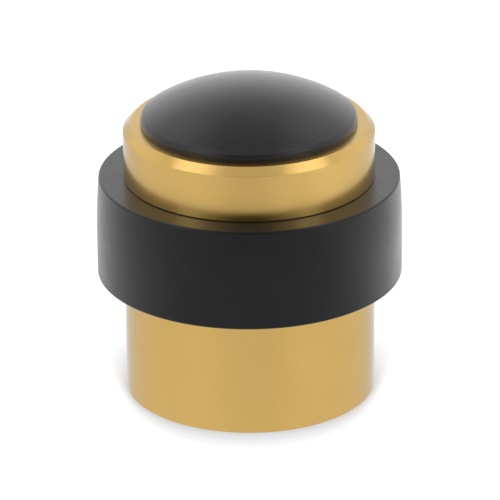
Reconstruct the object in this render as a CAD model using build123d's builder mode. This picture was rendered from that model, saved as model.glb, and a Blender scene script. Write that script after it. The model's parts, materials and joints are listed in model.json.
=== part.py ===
from build123d import *

import os
from math import sqrt

# Floor door stop: a turned metal body, a rubber buffer ring in its groove and a domed push-in cap.
# The stop is screwed to the floor through its middle. The screw goes down the well from above and
# seats on a countersink, and the cap's barbed stem then closes the well. The origin is on the floor,
# at the middle of the underside, and +Z runs up the axis that every piece is turned about.

# Driving dimensions, in millimetres

# Metal body
body_diameter = 33.0
base_height = 16.4
collar_height = 7.3
collar_bevel = 1.0
groove_depth = 3.0
edge_break = 0.1

# Fixing through the middle of the body
screw_hole_diameter = 5.5
screw_head_diameter = 10.5
screw_seat_height = 8.0
countersink_angle = 90.0
well_diameter = 14.0

# Rubber buffer ring
ring_diameter = 40.2
ring_height = 13.5
ring_taper_height = 4.5
ring_taper_inset = 0.3
ring_bevel = 0.15
ring_clearance = 0.05

# Domed cap
cap_diameter = 28.4
cap_rim_height = 1.0
cap_dome_height = 4.4
cap_shoulder_radius = 0.9
stem_length = 8.0
stem_tip_chamfer = 0.8
barb_count = 2
barb_pitch = 2.4
barb_depth = 0.7
barb_slope_height = 1.2
stem_clearance = 0.05

# Places that the pieces share

body_radius = body_diameter / 2
groove_radius = body_radius - groove_depth
collar_foot = base_height + ring_height
body_height = collar_foot + collar_height
well_radius = well_diameter / 2
well_depth = body_height - screw_seat_height

# Body: one turned piece, with a plain foot, the ring's groove and a bevelled collar

with BuildPart() as body:
    with BuildSketch(Plane.XZ):
        with BuildLine():
            Polyline(
                (0, 0),
                (body_radius, 0),
                (body_radius, base_height),
                (groove_radius, base_height),
                (groove_radius, collar_foot),
                (body_radius, collar_foot),
                (body_radius, body_height),
                (0, body_height),
                close=True,
            )
        make_face()
    revolve(axis=Axis.Z)

    # The collar's bevel, then the corners that a hand meets: the foot's two rims and the collar's lower rim
    chamfer(body.edges().group_by(Axis.Z)[-1], collar_bevel)
    outer_rims = body.edges().filter_by(GeomType.CIRCLE).group_by(SortBy.RADIUS)[-1].sort_by(Axis.Z)
    chamfer(outer_rims[:3], edge_break)

    # Well for the screw's head and the driver, open at the collar's flat top
    with Locations((0, 0, body_height)):
        Hole(well_radius, well_depth)
    chamfer(body.faces().sort_by(Axis.Z)[-1].inner_wires().edges(), edge_break)

    # Countersunk seat at the foot of the well, and the screw's clearance hole to the floor
    with Locations((0, 0, screw_seat_height)):
        CounterSinkHole(
            radius=screw_hole_diameter / 2,
            counter_sink_radius=screw_head_diameter / 2,
            depth=screw_seat_height,
            counter_sink_angle=countersink_angle,
        )
    chamfer(body.faces().sort_by(Axis.Z)[0].inner_wires().edges(), edge_break)

# Buffer ring: a thick rubber band stretched into the groove and standing proud of the body

ring_radius = ring_diameter / 2
ring_inner_radius = groove_radius + ring_clearance
ring_top_radius = ring_radius - ring_taper_inset
taper_foot = collar_foot - ring_taper_height

with BuildPart() as buffer_ring:
    with BuildSketch(Plane.XZ):
        with BuildLine():
            # The wall stands upright below and leans in a little toward the ring's top
            Polyline(
                (ring_inner_radius, base_height),
                (ring_radius, base_height),
                (ring_radius, taper_foot),
                (ring_top_radius, collar_foot),
                (ring_inner_radius, collar_foot),
                close=True,
            )
        make_face()
    revolve(axis=Axis.Z)

    lower_rim = buffer_ring.edges().group_by(Axis.Z)[0].sort_by(SortBy.RADIUS)[-1]
    upper_rim = buffer_ring.edges().group_by(Axis.Z)[-1].sort_by(SortBy.RADIUS)[-1]
    chamfer([lower_rim, upper_rim], ring_bevel)

# Cap: a dome that rolls over into a short rim, on a stem whose barbs grip the well

cap_radius = cap_diameter / 2
cap_height = cap_rim_height + cap_dome_height
dome_radius = (cap_radius**2 + cap_dome_height**2) / (2 * cap_dome_height)
dome_center = body_height + cap_height - dome_radius
stem_foot = body_height - stem_length
barb_radius = well_radius - stem_clearance
stem_radius = barb_radius - barb_depth

# The shoulder's arc runs on from the dome where both lean the same way, and ends upright on the rim
shoulder_reach = dome_radius - cap_shoulder_radius
shoulder_offset = cap_radius - cap_shoulder_radius
shoulder_rise = sqrt(shoulder_reach**2 - shoulder_offset**2)
shoulder_foot = dome_center + shoulder_rise
dome_edge_radius = shoulder_offset * dome_radius / shoulder_reach
dome_edge_height = dome_center + shoulder_rise * dome_radius / shoulder_reach

with BuildPart() as cap:
    with BuildSketch(Plane.XY.offset(body_height)):
        Circle(dome_edge_radius)
    extrude(amount=cap_height)
    with Locations((0, 0, dome_center)):
        Sphere(dome_radius, rotation=(90, 0, 0), mode=Mode.INTERSECT)

    with BuildSketch(Plane.XZ):
        with BuildLine():
            RadiusArc((dome_edge_radius, dome_edge_height), (cap_radius, shoulder_foot), cap_shoulder_radius)
            Polyline(
                (cap_radius, shoulder_foot),
                (cap_radius, body_height),
                (dome_edge_radius, body_height),
                (dome_edge_radius, dome_edge_height),
            )
        make_face()
    revolve(axis=Axis.Z)

    with BuildSketch(Plane.XY.offset(body_height)):
        Circle(stem_radius)
    extrude(amount=-stem_length)
    chamfer(cap.edges().sort_by(Axis.Z)[0], stem_tip_chamfer)

    # Barbs that slope on the way in and stand square on the way out
    for barb in range(barb_count):
        barb_foot = stem_foot + stem_tip_chamfer + barb * barb_pitch
        barb_top = barb_foot + barb_slope_height
        with BuildSketch(Plane.XZ):
            with BuildLine():
                Polyline(
                    (0, barb_foot),
                    (stem_radius, barb_foot),
                    (barb_radius, barb_top),
                    (0, barb_top),
                    close=True,
                )
            make_face()
        revolve(axis=Axis.Z)

# Each finished piece is written under its own name

os.makedirs("parts", exist_ok=True)

body.part.label = "body"
buffer_ring.part.label = "buffer_ring"
cap.part.label = "cap"

export_step(body.part, "parts/body.step")
export_step(buffer_ring.part, "parts/buffer_ring.step")
export_step(cap.part, "parts/cap.step")
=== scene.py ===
import json
from math import asin, ceil, cos, pi, radians, sin, tan

import bpy
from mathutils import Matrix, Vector


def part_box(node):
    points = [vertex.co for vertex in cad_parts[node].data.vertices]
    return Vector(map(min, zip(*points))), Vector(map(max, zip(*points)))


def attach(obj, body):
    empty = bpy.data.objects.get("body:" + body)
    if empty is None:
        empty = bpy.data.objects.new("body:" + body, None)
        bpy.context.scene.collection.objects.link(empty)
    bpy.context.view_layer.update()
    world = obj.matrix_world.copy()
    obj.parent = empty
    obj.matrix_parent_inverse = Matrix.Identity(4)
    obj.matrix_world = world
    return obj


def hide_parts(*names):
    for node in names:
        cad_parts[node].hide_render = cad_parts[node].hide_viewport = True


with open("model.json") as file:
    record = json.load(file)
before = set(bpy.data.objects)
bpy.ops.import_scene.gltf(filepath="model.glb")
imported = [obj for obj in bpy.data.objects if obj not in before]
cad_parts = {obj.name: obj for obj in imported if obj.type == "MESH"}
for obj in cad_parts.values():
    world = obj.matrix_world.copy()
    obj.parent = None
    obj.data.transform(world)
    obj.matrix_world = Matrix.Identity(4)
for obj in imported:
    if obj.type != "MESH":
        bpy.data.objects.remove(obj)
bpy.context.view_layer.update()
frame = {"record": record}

# Floor door stop: a turned satin gold body, a black rubber ring round it and a black domed cap on top.
# Every piece is turned about Z, so each is an outline of radius and height, revolved.

MM = 0.001

# Sizes taken from the frame

body_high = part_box("body")[1]
ring_low, ring_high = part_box("buffer_ring")
cap_low, cap_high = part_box("cap")
screw_hole = next(mount for mount in frame["record"]["mounts"] if mount["name"] == "screw_hole")

body_radius = body_high.x
body_top = body_high.z
ring_radius = ring_high.x
ring_foot = ring_low.z
ring_top = ring_high.z
cap_radius = cap_high.x
cap_top = cap_high.z
stem_foot = cap_low.z
screw_hole_radius = screw_hole["dims"]["r_mm"] * MM

# Sizes of the body's own features

groove_depth = 3.0 * MM
collar_bevel = 1.0 * MM
edge_break = 0.1 * MM
screw_head_radius = 5.25 * MM
screw_seat_height = 8.0 * MM
well_radius = 7.0 * MM
turned_rounding = 0.06 * MM

# Sizes of the ring's own features

ring_clearance = 0.05 * MM
ring_taper_height = 4.5 * MM
ring_taper_inset = 0.3 * MM
ring_taper_rounding = 90 * MM
ring_bevel = 0.15 * MM
ring_rounding = 0.24 * MM
ring_inner_rounding = 0.1 * MM

# Sizes of the cap's own features

cap_rim_height = 1.0 * MM
cap_shoulder_radius = 0.9 * MM
cap_foot_rounding = 0.1 * MM
stem_clearance = 0.05 * MM
stem_tip_chamfer = 0.8 * MM
stem_rounding = 0.08 * MM
barb_count = 2
barb_pitch = 2.4 * MM
barb_depth = 0.7 * MM
barb_slope_height = 1.2 * MM

# Fineness of the turned meshes: the steps round the axis, then the widest turn, the longest chord and the
# fewest parts of an arc. A point this near to the axis counts as on it.

SEGMENTS = 240
ARC_STEP = radians(10)
ARC_CHORD = 0.4 * MM
ARC_PARTS = 3
ON_AXIS = 0.001 * MM


def turned(heading, angle):
    """A direction in the outline's plane, turned to the left by an angle."""
    return Vector((
        heading.x * cos(angle) - heading.y * sin(angle),
        heading.x * sin(angle) + heading.y * cos(angle),
    ))


def to_left(heading):
    """A direction in the outline's plane, turned to the left by a right angle."""
    return Vector((-heading.y, heading.x))


def corner_arc(before, corner, after, rounding):
    """Points of the arc that rounds a corner, each with the outward direction there.
    The solid is on the left."""
    heading_in = (corner - before).normalized()
    heading_out = (after - corner).normalized()
    turn = -heading_in.angle_signed(heading_out)
    side = 1 if turn > 0 else -1
    start = corner - heading_in * rounding * tan(abs(turn) / 2)
    center = start + to_left(heading_in) * rounding * side
    parts = max(ARC_PARTS, ceil(abs(turn) / ARC_STEP), ceil(abs(turn) * rounding / ARC_CHORD))
    for part in range(parts + 1):
        heading = turned(heading_in, turn * part / parts)
        yield center - to_left(heading) * rounding * side, -to_left(heading)


def outline(corners, closed):
    """Points and outward directions of an outline given as corners of (radius, height, rounding).
    It runs with the solid on its left. An open one starts and ends on the axis."""
    places = [Vector(corner[:2]) for corner in corners]
    path = []
    if not closed:
        path.append((places[0], -to_left((places[1] - places[0]).normalized())))
    inner = range(len(corners)) if closed else range(1, len(corners) - 1)
    for index in inner:
        before = places[index - 1]
        after = places[(index + 1) % len(places)]
        path.extend(corner_arc(before, places[index], after, corners[index][2]))
    if not closed and path[-1][0].x > ON_AXIS:
        path.append((places[-1], -to_left((places[-1] - places[-2]).normalized())))
    return path


def revolve(name, corners, closed, material):
    """An object made by turning an outline about Z, shaded by the outline's own directions."""
    path = outline(corners, closed)
    points = []
    normals = []
    rows = []
    for place, outward in path:
        count = SEGMENTS if place.x > ON_AXIS else 1
        rows.append([len(points) + step for step in range(count)])
        for step in range(count):
            angle = 2 * pi * step / SEGMENTS
            points.append((place.x * cos(angle), place.x * sin(angle), place.y))
            normals.append((outward.x * cos(angle), outward.x * sin(angle), outward.y))
    faces = []
    row_pairs = list(zip(rows, rows[1:]))
    if closed:
        row_pairs.append((rows[-1], rows[0]))
    for lower, upper in row_pairs:
        for step in range(SEGMENTS):
            following = (step + 1) % SEGMENTS
            if len(lower) == 1:
                faces.append((lower[0], upper[following], upper[step]))
            elif len(upper) == 1:
                faces.append((lower[step], lower[following], upper[0]))
            else:
                faces.append((lower[step], lower[following], upper[following], upper[step]))
    mesh = bpy.data.meshes.new(name)
    mesh.from_pydata(points, [], faces)
    mesh.shade_smooth()
    mesh.normals_split_custom_set_from_vertices(normals)
    mesh.materials.append(material)
    piece = bpy.data.objects.new(name, mesh)
    bpy.context.scene.collection.objects.link(piece)
    return piece


# Materials

# The middle of a noise's range, where nearly all of its values lie
NOISE_LOW = 0.3
NOISE_HIGH = 0.7


class Nodes:
    """The node tree of a material or a world, with short ways to add nodes and join them."""

    def __init__(self, owner, shader="Principled BSDF"):
        owner.use_nodes = True
        self.tree = owner.node_tree
        self.shader = self.tree.nodes[shader]

    def add(self, kind, **settings):
        """A new node of a kind, with settings of its own."""
        node = self.tree.nodes.new(kind)
        for key, value in settings.items():
            setattr(node, key, value)
        return node

    def join(self, source, target):
        """Links an output to an input."""
        self.tree.links.new(source, target)

    def drive(self, name, source):
        """Links an output to the shader's input of that name."""
        self.join(source, self.shader.inputs[name])

    def set_inputs(self, node, values):
        """Sets a node's inputs, by name, to plain values."""
        for name, value in values.items():
            node.inputs[name].default_value = value

    def math(self, operation, *values):
        """A Math node's result. Each value is a socket or a plain number."""
        node = self.add("ShaderNodeMath", operation=operation)
        for socket, value in zip(node.inputs, values):
            if isinstance(value, (int, float)):
                socket.default_value = value
            else:
                self.join(value, socket)
        return node.outputs[0]

    def place(self):
        """The place on the object."""
        return self.add("ShaderNodeTexCoord").outputs["Object"]

    def split(self, vector):
        """A vector's X, Y and Z."""
        node = self.add("ShaderNodeSeparateXYZ")
        self.join(vector, node.inputs[0])
        return node.outputs

    def noise(self, vector, detail, scale=1.0):
        """A smooth noise by place."""
        node = self.add("ShaderNodeTexNoise")
        self.set_inputs(node, {"Scale": scale, "Detail": detail})
        self.join(vector, node.inputs["Vector"])
        return node.outputs["Fac"]

    def spread(self, value, low, high, source_low=NOISE_LOW, source_high=NOISE_HIGH, **settings):
        """A value spread between two numbers, from the middle of a noise's range or from another range."""
        node = self.add("ShaderNodeMapRange", **settings)
        self.set_inputs(node, {"From Min": source_low, "From Max": source_high})
        self.set_inputs(node, {"To Min": low, "To Max": high})
        self.join(value, node.inputs["Value"])
        return node.outputs["Result"]

    def colours(self, value, first, second):
        """A colour between two, chosen by a noise."""
        node = self.add("ShaderNodeMix", data_type="RGBA")
        self.set_inputs(node, {"A": (*first, 1), "B": (*second, 1)})
        self.join(self.spread(value, 0, 1), node.inputs["Factor"])
        return node.outputs["Result"]

    def bump(self, height, strength, distance):
        """The surface's direction, tilted by a height."""
        node = self.add("ShaderNodeBump")
        self.set_inputs(node, {"Strength": strength, "Distance": distance})
        self.join(height, node.inputs["Height"])
        return node.outputs["Normal"]

    def show_to(self, ray, shader, output):
        """Shows another shader to one kind of ray, and the tree's own shader to all others."""
        choice = self.add("ShaderNodeMixShader")
        self.join(ray, choice.inputs["Fac"])
        self.join(self.shader.outputs[0], choice.inputs[1])
        self.join(shader.outputs[0], choice.inputs[2])
        self.join(choice.outputs[0], self.tree.nodes[output].inputs["Surface"])


# Clouding, marks and grain are noises, given by about how many of their waves fit in a metre
CLOUDING_DETAIL = 3.0

GOLD_FINISH = {
    "Metallic": 1.0,
    "Specular Tint": (0.66, 0.65, 0.62, 1),
    "Anisotropic": 0.8,
    "Anisotropic Rotation": 0.25,
    "Coat Weight": 0.75,
    "Coat Roughness": 0.15,
}
GOLD_LIGHT = (0.636, 0.406, 0.107)
GOLD_DEEP = (0.611, 0.386, 0.095)
GOLD_CLOUDING = 140.0
GOLD_ROUGHNESS = (0.22, 0.27)
MARKS_ALONG = 60
MARKS_ACROSS = 14000
MARKS_DETAIL = 3.0
MARKS_STRENGTH = 0.03
MARKS_DEPTH = 0.01 * MM


def satin_gold():
    """Fine turned metal: marks that run round the axis on walls, bevels and flats alike."""
    material = bpy.data.materials.new("satin_gold")
    nodes = Nodes(material)
    place = nodes.place()
    x, y, z = nodes.split(place)
    radius = nodes.math("SQRT", nodes.math("ADD", nodes.math("POWER", x, 2), nodes.math("POWER", y, 2)))
    across = nodes.math("SUBTRACT", z, radius)
    round_axis = nodes.add("ShaderNodeCombineXYZ")
    nodes.join(nodes.math("MULTIPLY", x, MARKS_ALONG), round_axis.inputs["X"])
    nodes.join(nodes.math("MULTIPLY", y, MARKS_ALONG), round_axis.inputs["Y"])
    nodes.join(nodes.math("MULTIPLY", across, MARKS_ACROSS), round_axis.inputs["Z"])
    marks = nodes.noise(round_axis.outputs[0], MARKS_DETAIL)
    clouding = nodes.noise(place, CLOUDING_DETAIL, GOLD_CLOUDING)
    round_tangent = nodes.add("ShaderNodeTangent", direction_type="RADIAL", axis="Z")
    nodes.set_inputs(nodes.shader, GOLD_FINISH)
    nodes.drive("Base Color", nodes.colours(clouding, GOLD_LIGHT, GOLD_DEEP))
    nodes.drive("Roughness", nodes.spread(marks, *GOLD_ROUGHNESS))
    nodes.drive("Normal", nodes.bump(marks, MARKS_STRENGTH, MARKS_DEPTH))
    nodes.drive("Tangent", round_tangent.outputs[0])
    return material


GRAIN_DETAIL = 2.0
GRAIN_DEPTH = 0.02 * MM

RING_FINISH = {
    "IOR": 1.8,
    "Specular Tint": (0.035, 0.035, 0.035, 1),
    "Coat Weight": 0.36,
    "Coat Roughness": 0.2,
    "Sheen Weight": 0.02,
    "Sheen Roughness": 0.5,
}
RING_BLACK = (0.0050, 0.0050, 0.0052)
RING_WORN = (0.0072, 0.0072, 0.0074)
RING_CLOUDING = 210.0
RING_ROUGHNESS = (0.30, 0.36)
RING_GRAIN = 5200.0
RING_GRAIN_STRENGTH = 0.06


def ring_rubber():
    """Moulded rubber: a fine dull skin with a thin smooth gloss over it."""
    material = bpy.data.materials.new("ring_rubber")
    nodes = Nodes(material)
    place = nodes.place()
    grain = nodes.noise(place, GRAIN_DETAIL, RING_GRAIN)
    clouding = nodes.noise(place, CLOUDING_DETAIL, RING_CLOUDING)
    nodes.set_inputs(nodes.shader, RING_FINISH)
    nodes.drive("Base Color", nodes.colours(clouding, RING_BLACK, RING_WORN))
    nodes.drive("Roughness", nodes.spread(clouding, *RING_ROUGHNESS))
    nodes.drive("Normal", nodes.bump(grain, RING_GRAIN_STRENGTH, GRAIN_DEPTH))
    return material


CAP_FINISH = {
    "IOR": 1.6,
    "Specular Tint": (0.45, 0.45, 0.45, 1),
    "Sheen Weight": 0.55,
    "Sheen Roughness": 0.36,
}
CAP_BLACK = (0.010, 0.010, 0.0103)
CAP_WORN = (0.014, 0.014, 0.0144)
CAP_CLOUDING = 230.0
CAP_ROUGHNESS = (0.25, 0.30)
CAP_GRAIN = 4200.0
CAP_GRAIN_STRENGTH = 0.08


def cap_rubber():
    """Matt moulded rubber, finely grained."""
    material = bpy.data.materials.new("cap_rubber")
    nodes = Nodes(material)
    place = nodes.place()
    grain = nodes.noise(place, GRAIN_DETAIL, CAP_GRAIN)
    clouding = nodes.noise(place, CLOUDING_DETAIL, CAP_CLOUDING)
    nodes.set_inputs(nodes.shader, CAP_FINISH)
    nodes.drive("Base Color", nodes.colours(clouding, CAP_BLACK, CAP_WORN))
    nodes.drive("Roughness", nodes.spread(clouding, *CAP_ROUGHNESS))
    nodes.drive("Normal", nodes.bump(grain, CAP_GRAIN_STRENGTH, GRAIN_DEPTH))
    return material


# Pieces

def turned_body():
    """The metal body, with the ring's groove, the bevelled collar and the way through it for a screw."""
    groove_radius = body_radius - groove_depth
    sink_foot = screw_seat_height - (screw_head_radius - screw_hole_radius)
    sharp = turned_rounding
    corners = [
        (screw_hole_radius + edge_break, 0, sharp),
        (body_radius - edge_break, 0, sharp),
        (body_radius, edge_break, sharp),
        (body_radius, ring_foot - edge_break, sharp),
        (body_radius - edge_break, ring_foot, sharp),
        (groove_radius, ring_foot, sharp),
        (groove_radius, ring_top, sharp),
        (body_radius - edge_break, ring_top, sharp),
        (body_radius, ring_top + edge_break, sharp),
        (body_radius, body_top - collar_bevel, sharp),
        (body_radius - collar_bevel, body_top, sharp),
        (well_radius + edge_break, body_top, sharp),
        (well_radius, body_top - edge_break, sharp),
        (well_radius, screw_seat_height, sharp),
        (screw_head_radius, screw_seat_height, sharp),
        (screw_hole_radius, sink_foot, sharp),
        (screw_hole_radius, edge_break, sharp),
    ]
    piece = revolve("turned_body", corners, closed=True, material=satin_gold())
    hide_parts("body")
    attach(piece, "root")


def moulded_ring():
    """The rubber ring in the groove. Its wall leans in toward the top, and its outer edges are eased."""
    inner_radius = body_radius - groove_depth + ring_clearance
    top_radius = ring_radius - ring_taper_inset
    corners = [
        (inner_radius, ring_foot, ring_inner_rounding),
        (ring_radius - ring_bevel, ring_foot, ring_rounding),
        (ring_radius, ring_foot + ring_bevel, ring_rounding),
        (ring_radius, ring_top - ring_taper_height, ring_taper_rounding),
        (top_radius, ring_top - ring_bevel, ring_rounding),
        (top_radius - ring_bevel, ring_top, ring_rounding),
        (inner_radius, ring_top, ring_inner_rounding),
    ]
    piece = revolve("moulded_ring", corners, closed=True, material=ring_rubber())
    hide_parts("buffer_ring")
    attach(piece, "root")


def domed_cap():
    """The cap: a dome that rolls over into a short rim, on a barbed stem in the body's well."""
    barb_radius = well_radius - stem_clearance
    stem_radius = barb_radius - barb_depth
    dome_height = cap_top - body_top - cap_rim_height
    dome_radius = (cap_radius**2 + dome_height**2) / (2 * dome_height)
    dome_slope = asin((cap_radius - cap_shoulder_radius) / (dome_radius - cap_shoulder_radius))
    dome_corner_radius = dome_radius * tan(dome_slope / 2)
    shoulder_corner = cap_top - (cap_radius - dome_corner_radius) * tan(dome_slope)
    corners = [
        (0, stem_foot, 0),
        (stem_radius - stem_tip_chamfer, stem_foot, stem_rounding),
    ]
    for barb in range(barb_count):
        barb_foot = stem_foot + stem_tip_chamfer + barb * barb_pitch
        barb_top = barb_foot + barb_slope_height
        corners.append((stem_radius, barb_foot, stem_rounding))
        corners.append((barb_radius, barb_top, stem_rounding))
        corners.append((stem_radius, barb_top, stem_rounding))
    corners += [
        (stem_radius, body_top, stem_rounding),
        (cap_radius, body_top, cap_foot_rounding),
        (cap_radius, shoulder_corner, cap_shoulder_radius),
        (dome_corner_radius, cap_top, dome_radius),
        (0, cap_top, 0),
    ]
    piece = revolve("domed_cap", corners, closed=False, material=cap_rubber())
    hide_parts("cap")
    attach(piece, "root")


turned_body()
moulded_ring()
domed_cap()

# Studio

# Plain white, and its brightness
WHITE = (1, 1, 1, 1)
PLAIN = 1.0

# Reach of the floor aside and behind, and in front
FLOOR_SIDE = 2.0
FLOOR_FRONT = 0.15
# The grey is slightly cool, so that the floor comes out neutral in the gold's warm light
FLOOR_FINISH = {
    "Base Color": (0.40, 0.42, 0.46, 1),
    "Roughness": 1.0,
    "Specular IOR Level": 0.0,
    "Emission Color": WHITE,
}
# Light added to the floor for the eye, away from the stop and at its foot
FLOOR_LIFT = 0.77
CONTACT_LIFT = 0.39
# Open share of what is overhead, away from the stop and at its foot
OPEN_SHARE = 1.0
CONTACT_SHARE = 0.5
# Reach of the shadow at the foot: short where the way out from the axis has this Y, long straight ahead
CONTACT_SHORT_REACH = 1.3 * MM
CONTACT_LONG_REACH = 7.5 * MM
CONTACT_SHORT_Y = -0.25
CONTACT_AHEAD_Y = -1.0
# A painted pool of light on the floor, seen only in metal and gloss as a brighter band: its bearing, from
# the camera's side to the right, where along it the band starts, is full, fades and ends, its brightness,
# and the share of that left beyond it
BAND_BEARING = radians(120)
BAND_START = 40 * MM
BAND_FULL = 58 * MM
BAND_FADE = 62 * MM
BAND_END = 80 * MM
BAND_GLOW = 1.27
BEYOND_SHARE = 0.85


def floor_lift(nodes, place):
    """Light added to the floor, least in the shadow at the stop's foot."""
    way_out = nodes.add("ShaderNodeVectorMath", operation="NORMALIZE")
    nodes.join(place, way_out.inputs[0])
    off_short = nodes.math("SUBTRACT", nodes.split(way_out.outputs[0])["Y"], CONTACT_SHORT_Y)
    lengthening = nodes.math("MULTIPLY", off_short, off_short)
    full = (CONTACT_AHEAD_Y - CONTACT_SHORT_Y) ** 2
    contact = nodes.add("ShaderNodeAmbientOcclusion")
    reach = nodes.spread(lengthening, CONTACT_SHORT_REACH, CONTACT_LONG_REACH, 0, full)
    nodes.join(reach, contact.inputs["Distance"])
    return nodes.spread(contact.outputs["AO"], CONTACT_LIFT, FLOOR_LIFT, CONTACT_SHARE, OPEN_SHARE)


def floor_glow(nodes, place):
    """Brightness of the floor in metal and gloss: plain, but for a painted pool of light, a brighter band.
    """
    parts = nodes.split(place)
    aside = nodes.math("MULTIPLY", parts["X"], sin(BAND_BEARING))
    behind = nodes.math("MULTIPLY", parts["Y"], -cos(BAND_BEARING))
    away = nodes.math("ADD", aside, behind)
    rise = nodes.spread(away, PLAIN, BAND_GLOW, BAND_START, BAND_FULL)
    fall = nodes.spread(away, PLAIN, BEYOND_SHARE, BAND_FADE, BAND_END)
    return nodes.math("MULTIPLY", rise, fall)


def floor_white():
    """A pale grey. To the eye it is lifted to plain white away from the stop, and keeps the shadow at
    its foot. To metal and gloss it is white, with a painted pool of light, a brighter band to the right
    and behind."""
    material = bpy.data.materials.new("floor_white")
    nodes = Nodes(material)
    place = nodes.place()
    rays = nodes.add("ShaderNodeLightPath").outputs
    nodes.set_inputs(nodes.shader, FLOOR_FINISH)
    lift_to_eye = nodes.math("MULTIPLY", floor_lift(nodes, place), rays["Is Camera Ray"])
    nodes.drive("Emission Strength", lift_to_eye)
    white = nodes.add("ShaderNodeEmission")
    nodes.join(floor_glow(nodes, place), white.inputs["Strength"])
    nodes.show_to(rays["Is Glossy Ray"], white, "Material Output")
    return material


def floor():
    """A flat sheet that reaches far behind and aside, but not as far as the camera."""
    near = -FLOOR_FRONT
    far = FLOOR_SIDE
    corners = [(-FLOOR_SIDE, near, 0), (FLOOR_SIDE, near, 0), (FLOOR_SIDE, far, 0), (-FLOOR_SIDE, far, 0)]
    mesh = bpy.data.meshes.new("floor")
    mesh.from_pydata(corners, [], [(0, 1, 2, 3)])
    mesh.materials.append(floor_white())
    piece = bpy.data.objects.new("floor", mesh)
    bpy.context.scene.collection.objects.link(piece)


STUDIO_BRIGHTNESS = 1.2
# Grey of the studio's walls and ceiling, by the sine of the height above the horizon
STUDIO_TONES = [
    (0.0, 0.82),
    (0.2, 0.89),
    (0.4, 0.98),
    (0.5, 0.915),
    (0.63, 0.80),
    (0.75, 0.60),
    (0.9, 0.48),
    (1.0, 0.44),
]
# A dark patch behind the camera: its middle, its half size along each axis, its brightness, and the shares
# of its size within which it is darkest and beyond which it ends
PATCH_MIDDLE = Vector((0, -0.95, 0.2))
PATCH_SIZE = Vector((0.60, 1.0, 0.6))
PATCH_TONE = 0.15
PATCH_INNER = 0.4
PATCH_OUTER = 1.2


def studio_tones(nodes, direction):
    """Greys of the walls and ceiling."""
    tones = nodes.add("ShaderNodeValToRGB")
    steps = tones.color_ramp.elements
    steps.remove(steps[1])
    for index, (height, grey) in enumerate(STUDIO_TONES):
        step = steps[0] if index == 0 else steps.new(height)
        step.position = height
        step.color = (grey, grey, grey, 1)
    nodes.join(nodes.split(direction)["Z"], tones.inputs["Fac"])
    return tones.outputs["Color"]


def studio_brightness(nodes, direction):
    """Brightness of the walls and ceiling, low in the dark patch."""
    patch = nodes.add("ShaderNodeMapping")
    shift = [-middle / size for middle, size in zip(PATCH_MIDDLE, PATCH_SIZE)]
    scale = [1 / size for size in PATCH_SIZE]
    nodes.set_inputs(patch, {"Location": shift, "Scale": scale})
    nodes.join(direction, patch.inputs["Vector"])
    away = nodes.add("ShaderNodeVectorMath", operation="LENGTH")
    nodes.join(patch.outputs["Vector"], away.inputs[0])
    return nodes.spread(
        away.outputs["Value"],
        PATCH_TONE * STUDIO_BRIGHTNESS,
        STUDIO_BRIGHTNESS,
        PATCH_INNER,
        PATCH_OUTER,
        interpolation_type="SMOOTHSTEP",
    )


def studio_world():
    """White to the eye. To everything else, bright walls under a dimmer ceiling, and a dark patch
    behind the camera."""
    world = bpy.data.worlds.new("studio")
    bpy.context.scene.world = world
    nodes = Nodes(world, "Background")
    direction = nodes.add("ShaderNodeTexCoord").outputs["Generated"]
    nodes.drive("Color", studio_tones(nodes, direction))
    nodes.drive("Strength", studio_brightness(nodes, direction))
    white = nodes.add("ShaderNodeBackground")
    nodes.set_inputs(white, {"Color": WHITE, "Strength": PLAIN})
    rays = nodes.add("ShaderNodeLightPath").outputs
    nodes.show_to(rays["Is Camera Ray"], white, "World Output")


BOX_DISTANCE = 1.0
FRONT_LEFT_AZIMUTH = radians(-74.5)
FRONT_RIGHT_AZIMUTH = radians(78)
FRONT_BOX_HEIGHT = radians(58)
FRONT_BOX_SIZE = (0.42, 0.52)
FRONT_BOX_RADIANCE = 1.2
LOW_BOX_AZIMUTH = radians(56)
LOW_BOX_HEIGHT = radians(22)
LOW_BOX_SIZE = (0.4, 0.24)
LOW_BOX_RADIANCE = 2.0
BACK_BOX_AZIMUTH = radians(130)
BACK_BOX_HEIGHT = radians(54)
BACK_BOX_SIZE = (0.45, 0.34)
BACK_BOX_RADIANCE = 0.6
TOP_BOX_AZIMUTH = 0
TOP_BOX_HEIGHT = radians(65)
TOP_BOX_SIZE = (0.60, 0.30)
TOP_BOX_RADIANCE = 0.36


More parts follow.
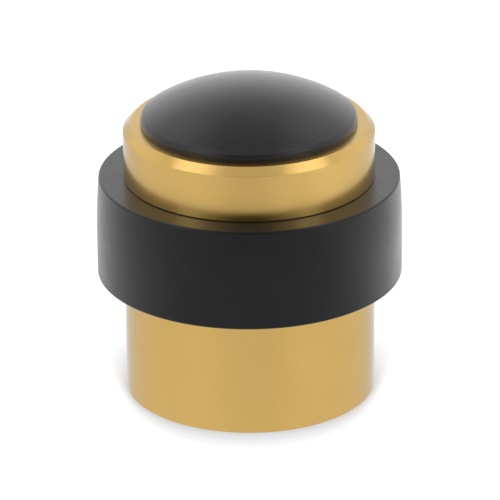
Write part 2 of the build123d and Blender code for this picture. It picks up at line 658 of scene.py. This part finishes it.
def soft_box(name, azimuth, height, size, radiance):
    """A soft box aimed at the stop. Its azimuth runs from the camera's side to the right."""
    lamp = bpy.data.lights.new(name, "AREA")
    lamp.shape = "RECTANGLE"
    lamp.size, lamp.size_y = size
    lamp.energy = radiance * pi * size[0] * size[1]
    light = bpy.data.objects.new(name, lamp)
    toward = Vector((sin(azimuth) * cos(height), -cos(azimuth) * cos(height), sin(height)))
    light.location = toward * BOX_DISTANCE
    light.rotation_euler = toward.to_track_quat("Z", "Y").to_euler()
    light.visible_camera = False
    bpy.context.scene.collection.objects.link(light)


CAMERA_BACK = 0.600
CAMERA_HEIGHT = 0.27892
CAMERA_ASIDE = 0.000036
CAMERA_PITCH = radians(23.429)
CAMERA_ROLL = radians(-0.377)
CAMERA_LENS = 356.47


def camera():
    """The photograph's camera: a long lens in front, looking down, very slightly rolled."""
    data = bpy.data.cameras.new("camera")
    data.lens = CAMERA_LENS
    view = bpy.data.objects.new("camera", data)
    view.location = (CAMERA_ASIDE, -CAMERA_BACK, CAMERA_HEIGHT)
    view.rotation_mode = "ZXY"
    view.rotation_euler = (pi / 2 - CAMERA_PITCH, 0, CAMERA_ROLL)
    bpy.context.scene.collection.objects.link(view)
    bpy.context.scene.camera = view


floor()
studio_world()
soft_box("top", TOP_BOX_AZIMUTH, TOP_BOX_HEIGHT, TOP_BOX_SIZE, TOP_BOX_RADIANCE)
soft_box("front_left", FRONT_LEFT_AZIMUTH, FRONT_BOX_HEIGHT, FRONT_BOX_SIZE, FRONT_BOX_RADIANCE)
soft_box("front_right", FRONT_RIGHT_AZIMUTH, FRONT_BOX_HEIGHT, FRONT_BOX_SIZE, FRONT_BOX_RADIANCE)
for side, name in ((-1, "left"), (1, "right")):
    soft_box("low_" + name, side * LOW_BOX_AZIMUTH, LOW_BOX_HEIGHT, LOW_BOX_SIZE, LOW_BOX_RADIANCE)
    soft_box("back_" + name, side * BACK_BOX_AZIMUTH, BACK_BOX_HEIGHT, BACK_BOX_SIZE, BACK_BOX_RADIANCE)
camera()
bpy.context.scene.view_settings.view_transform = "Standard"
